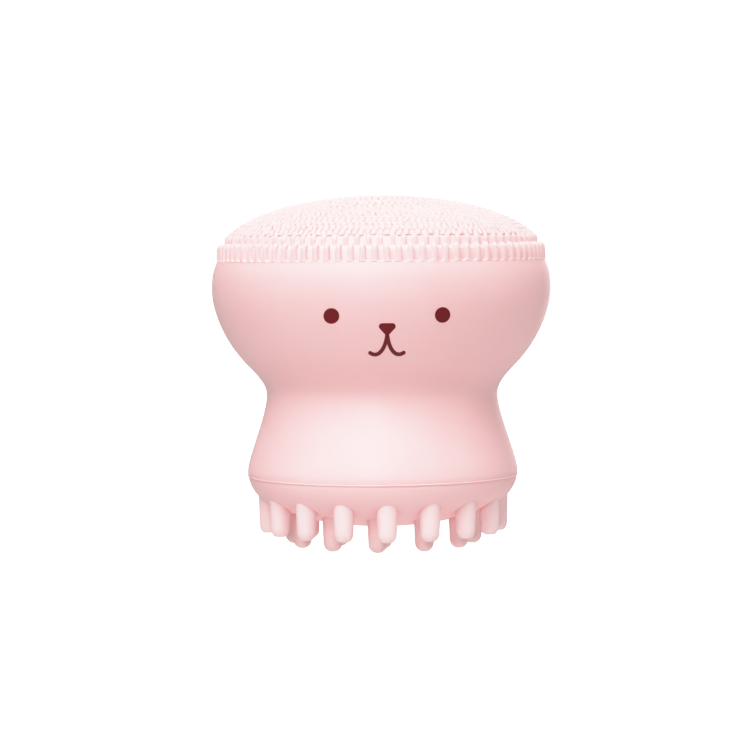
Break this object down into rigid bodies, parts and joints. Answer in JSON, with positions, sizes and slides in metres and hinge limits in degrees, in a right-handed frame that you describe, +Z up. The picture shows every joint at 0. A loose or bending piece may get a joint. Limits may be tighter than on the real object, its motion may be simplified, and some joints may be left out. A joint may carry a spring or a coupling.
{
  "type": "facial cleansing brush",
  "caption": "Palm-sized soft silicone face brush: waisted hollow body, domed crown of fine bristles on top, flexible round massage nubs under a domed base, simple printed animal face.",
  "frame": {"origin": "on the turning axis, at the level of the lowest nub tips, which the brush stands on", "axes": "+Z up along the turning axis towards the bristle crown; the printed face looks along -Y"},
  "size_m": [0.05, 0.05, 0.0516],
  "materials": {
    "body_silicone": "satin",
    "base_silicone": "satin",
    "bristle_silicone": "matte",
    "nub_silicone": "satin",
    "face_ink": "matte"
  },
  "bodies": {
    "brush": {"body_shell": "body_silicone", "base_cap": "base_silicone", "bristle_pad": "bristle_silicone", "bristle_row_outer": "bristle_silicone", "bristle_row_second": "bristle_silicone", "print_eye_left": "face_ink", "print_eye_right": "face_ink", "print_nose": "face_ink", "print_mouth": "face_ink"},
    "nub_outer_01": {"nub_outer_01": "nub_silicone"},
    "nub_outer_02": {"nub_outer_02": "nub_silicone"},
    "nub_outer_03": {"nub_outer_03": "nub_silicone"},
    "nub_outer_04": {"nub_outer_04": "nub_silicone"},
    "nub_outer_05": {"nub_outer_05": "nub_silicone"},
    "nub_outer_06": {"nub_outer_06": "nub_silicone"},
    "nub_outer_07": {"nub_outer_07": "nub_silicone"},
    "nub_outer_08": {"nub_outer_08": "nub_silicone"},
    "nub_outer_09": {"nub_outer_09": "nub_silicone"},
    "nub_outer_10": {"nub_outer_10": "nub_silicone"},
    "nub_outer_11": {"nub_outer_11": "nub_silicone"},
    "nub_outer_12": {"nub_outer_12": "nub_silicone"},
    "nub_outer_13": {"nub_outer_13": "nub_silicone"},
    "nub_outer_14": {"nub_outer_14": "nub_silicone"},
    "nub_outer_15": {"nub_outer_15": "nub_silicone"},
    "nub_outer_16": {"nub_outer_16": "nub_silicone"},
    "nub_outer_17": {"nub_outer_17": "nub_silicone"},
    "nub_middle_01": {"nub_middle_01": "nub_silicone"},
    "nub_middle_02": {"nub_middle_02": "nub_silicone"},
    "nub_middle_03": {"nub_middle_03": "nub_silicone"},
    "nub_middle_04": {"nub_middle_04": "nub_silicone"},
    "nub_middle_05": {"nub_middle_05": "nub_silicone"},
    "nub_middle_06": {"nub_middle_06": "nub_silicone"},
    "nub_middle_07": {"nub_middle_07": "nub_silicone"},
    "nub_middle_08": {"nub_middle_08": "nub_silicone"},
    "nub_middle_09": {"nub_middle_09": "nub_silicone"},
    "nub_middle_10": {"nub_middle_10": "nub_silicone"},
    "nub_middle_11": {"nub_middle_11": "nub_silicone"},
    "nub_middle_12": {"nub_middle_12": "nub_silicone"},
    "nub_inner_01": {"nub_inner_01": "nub_silicone"},
    "nub_inner_02": {"nub_inner_02": "nub_silicone"},
    "nub_inner_03": {"nub_inner_03": "nub_silicone"},
    "nub_inner_04": {"nub_inner_04": "nub_silicone"},
    "nub_inner_05": {"nub_inner_05": "nub_silicone"},
    "nub_inner_06": {"nub_inner_06": "nub_silicone"},
    "nub_centre": {"nub_centre": "nub_silicone"}
  },
  "joints": [
    {"name": "flex_outer_01", "type": "hinge", "parent": "brush", "child": "nub_outer_01", "pos_m": [0, -0.017, 0.00541], "axis": [-1, 0, 0], "range_deg": [-15, 40], "stiffness_Nm_per_rad": 0.003},
    {"name": "flex_outer_02", "type": "hinge", "parent": "brush", "child": "nub_outer_02", "pos_m": [0.00614, -0.01585, 0.00541], "axis": [-0.9325, -0.3612, 0], "range_deg": [-15, 40], "stiffness_Nm_per_rad": 0.003},
    {"name": "flex_outer_03", "type": "hinge", "parent": "brush", "child": "nub_outer_03", "pos_m": [0.01145, -0.01256, 0.00541], "axis": [-0.739, -0.6737, 0], "range_deg": [-15, 40], "stiffness_Nm_per_rad": 0.003},
    {"name": "flex_outer_04", "type": "hinge", "parent": "brush", "child": "nub_outer_04", "pos_m": [0.01522, -0.00758, 0.00541], "axis": [-0.4457, -0.8952, 0], "range_deg": [-15, 40], "stiffness_Nm_per_rad": 0.003},
    {"name": "flex_outer_05", "type": "hinge", "parent": "brush", "child": "nub_outer_05", "pos_m": [0.01693, -0.00157, 0.00541], "axis": [-0.0923, -0.9957, 0], "range_deg": [-15, 40], "stiffness_Nm_per_rad": 0.003},
    {"name": "flex_outer_06", "type": "hinge", "parent": "brush", "child": "nub_outer_06", "pos_m": [0.01635, 0.00465, 0.00541], "axis": [0.2737, -0.9618, 0], "range_deg": [-15, 40], "stiffness_Nm_per_rad": 0.003},
    {"name": "flex_outer_07", "type": "hinge", "parent": "brush", "child": "nub_outer_07", "pos_m": [0.01357, 0.01024, 0.00541], "axis": [0.6026, -0.798, 0], "range_deg": [-15, 40], "stiffness_Nm_per_rad": 0.003},
    {"name": "flex_outer_08", "type": "hinge", "parent": "brush", "child": "nub_outer_08", "pos_m": [0.00895, 0.01445, 0.00541], "axis": [0.8502, -0.5264, 0], "range_deg": [-15, 40], "stiffness_Nm_per_rad": 0.003},
    {"name": "flex_outer_09", "type": "hinge", "parent": "brush", "child": "nub_outer_09", "pos_m": [0.00312, 0.01671, 0.00541], "axis": [0.983, -0.1837, 0], "range_deg": [-15, 40], "stiffness_Nm_per_rad": 0.003},
    {"name": "flex_outer_10", "type": "hinge", "parent": "brush", "child": "nub_outer_10", "pos_m": [-0.00312, 0.01671, 0.00541], "axis": [0.983, 0.1837, 0], "range_deg": [-15, 40], "stiffness_Nm_per_rad": 0.003},
    {"name": "flex_outer_11", "type": "hinge", "parent": "brush", "child": "nub_outer_11", "pos_m": [-0.00895, 0.01445, 0.00541], "axis": [0.8502, 0.5264, 0], "range_deg": [-15, 40], "stiffness_Nm_per_rad": 0.003},
    {"name": "flex_outer_12", "type": "hinge", "parent": "brush", "child": "nub_outer_12", "pos_m": [-0.01357, 0.01024, 0.00541], "axis": [0.6026, 0.798, 0], "range_deg": [-15, 40], "stiffness_Nm_per_rad": 0.003},
    {"name": "flex_outer_13", "type": "hinge", "parent": "brush", "child": "nub_outer_13", "pos_m": [-0.01635, 0.00465, 0.00541], "axis": [0.2737, 0.9618, 0], "range_deg": [-15, 40], "stiffness_Nm_per_rad": 0.003},
    {"name": "flex_outer_14", "type": "hinge", "parent": "brush", "child": "nub_outer_14", "pos_m": [-0.01693, -0.00157, 0.00541], "axis": [-0.0923, 0.9957, 0], "range_deg": [-15, 40], "stiffness_Nm_per_rad": 0.003},
    {"name": "flex_outer_15", "type": "hinge", "parent": "brush", "child": "nub_outer_15", "pos_m": [-0.01522, -0.00758, 0.00541], "axis": [-0.4457, 0.8952, 0], "range_deg": [-15, 40], "stiffness_Nm_per_rad": 0.003},
    {"name": "flex_outer_16", "type": "hinge", "parent": "brush", "child": "nub_outer_16", "pos_m": [-0.01145, -0.01256, 0.00541], "axis": [-0.739, 0.6737, 0], "range_deg": [-15, 40], "stiffness_Nm_per_rad": 0.003},
    {"name": "flex_outer_17", "type": "hinge", "parent": "brush", "child": "nub_outer_17", "pos_m": [-0.00614, -0.01585, 0.00541], "axis": [-0.9325, 0.3612, 0], "range_deg": [-15, 40], "stiffness_Nm_per_rad": 0.003},
    {"name": "flex_middle_01", "type": "hinge", "parent": "brush", "child": "nub_middle_01", "pos_m": [-0.00124, -0.01314, 0.00375], "axis": [-0.9956, 0.0941, 0], "range_deg": [-35, 15], "stiffness_Nm_per_rad": 0.003},
    {"name": "flex_middle_02", "type": "hinge", "parent": "brush", "child": "nub_middle_02", "pos_m": [0.00549, -0.012, 0.00375], "axis": [-0.9092, -0.4163, 0], "range_deg": [-35, 15], "stiffness_Nm_per_rad": 0.003},
    {"name": "flex_middle_03", "type": "hinge", "parent": "brush", "child": "nub_middle_03", "pos_m": [0.01076, -0.00765, 0.00375], "axis": [-0.5793, -0.8151, 0], "range_deg": [-35, 15], "stiffness_Nm_per_rad": 0.003},
    {"name": "flex_middle_04", "type": "hinge", "parent": "brush", "child": "nub_middle_04", "pos_m": [0.01314, -0.00124, 0.00375], "axis": [-0.0941, -0.9956, 0], "range_deg": [-35, 15], "stiffness_Nm_per_rad": 0.003},
    {"name": "flex_middle_05", "type": "hinge", "parent": "brush", "child": "nub_middle_05", "pos_m": [0.012, 0.00549, 0.00375], "axis": [0.4163, -0.9092, 0], "range_deg": [-35, 15], "stiffness_Nm_per_rad": 0.003},
    {"name": "flex_middle_06", "type": "hinge", "parent": "brush", "child": "nub_middle_06", "pos_m": [0.00765, 0.01076, 0.00375], "axis": [0.8151, -0.5793, 0], "range_deg": [-35, 15], "stiffness_Nm_per_rad": 0.003},
    {"name": "flex_middle_07", "type": "hinge", "parent": "brush", "child": "nub_middle_07", "pos_m": [0.00124, 0.01314, 0.00375], "axis": [0.9956, -0.0941, 0], "range_deg": [-35, 15], "stiffness_Nm_per_rad": 0.003},
    {"name": "flex_middle_08", "type": "hinge", "parent": "brush", "child": "nub_middle_08", "pos_m": [-0.00549, 0.012, 0.00375], "axis": [0.9092, 0.4163, 0], "range_deg": [-35, 15], "stiffness_Nm_per_rad": 0.003},
    {"name": "flex_middle_09", "type": "hinge", "parent": "brush", "child": "nub_middle_09", "pos_m": [-0.01076, 0.00765, 0.00375], "axis": [0.5793, 0.8151, 0], "range_deg": [-35, 15], "stiffness_Nm_per_rad": 0.003},
    {"name": "flex_middle_10", "type": "hinge", "parent": "brush", "child": "nub_middle_10", "pos_m": [-0.01314, 0.00124, 0.00375], "axis": [0.0941, 0.9956, 0], "range_deg": [-35, 15], "stiffness_Nm_per_rad": 0.003},
    {"name": "flex_middle_11", "type": "hinge", "parent": "brush", "child": "nub_middle_11", "pos_m": [-0.012, -0.00549, 0.00375], "axis": [-0.4163, 0.9092, 0], "range_deg": [-35, 15], "stiffness_Nm_per_rad": 0.003},
    {"name": "flex_middle_12", "type": "hinge", "parent": "brush", "child": "nub_middle_12", "pos_m": [-0.00765, -0.01076, 0.00375], "axis": [-0.8151, 0.5793, 0], "range_deg": [-35, 15], "stiffness_Nm_per_rad": 0.003},
    {"name": "flex_inner_01", "type": "hinge", "parent": "brush", "child": "nub_inner_01", "pos_m": [-0.00026, -0.0074, 0.00243], "axis": [-0.9994, 0.0349, 0], "range_deg": [-30, 30], "stiffness_Nm_per_rad": 0.003},
    {"name": "flex_inner_02", "type": "hinge", "parent": "brush", "child": "nub_inner_02", "pos_m": [0.00628, -0.00392, 0.00243], "axis": [-0.5299, -0.848, 0], "range_deg": [-30, 30], "stiffness_Nm_per_rad": 0.003},
    {"name": "flex_inner_03", "type": "hinge", "parent": "brush", "child": "nub_inner_03", "pos_m": [0.00653, 0.00347, 0.00243], "axis": [0.4695, -0.8829, 0], "range_deg": [-30, 30], "stiffness_Nm_per_rad": 0.003},
    {"name": "flex_inner_04", "type": "hinge", "parent": "brush", "child": "nub_inner_04", "pos_m": [0.00026, 0.0074, 0.00243], "axis": [0.9994, -0.0349, 0], "range_deg": [-30, 30], "stiffness_Nm_per_rad": 0.003},
    {"name": "flex_inner_05", "type": "hinge", "parent": "brush", "child": "nub_inner_05", "pos_m": [-0.00628, 0.00392, 0.00243], "axis": [0.5299, 0.848, 0], "range_deg": [-30, 30], "stiffness_Nm_per_rad": 0.003},
    {"name": "flex_inner_06", "type": "hinge", "parent": "brush", "child": "nub_inner_06", "pos_m": [-0.00653, -0.00347, 0.00243], "axis": [-0.4695, 0.8829, 0], "range_deg": [-30, 30], "stiffness_Nm_per_rad": 0.003},
    {"name": "flex_centre", "type": "hinge", "parent": "brush", "child": "nub_centre", "pos_m": [0, 0, 0.0019], "axis": [1, 0, 0], "range_deg": [-30, 30], "stiffness_Nm_per_rad": 0.003}
  ]
}
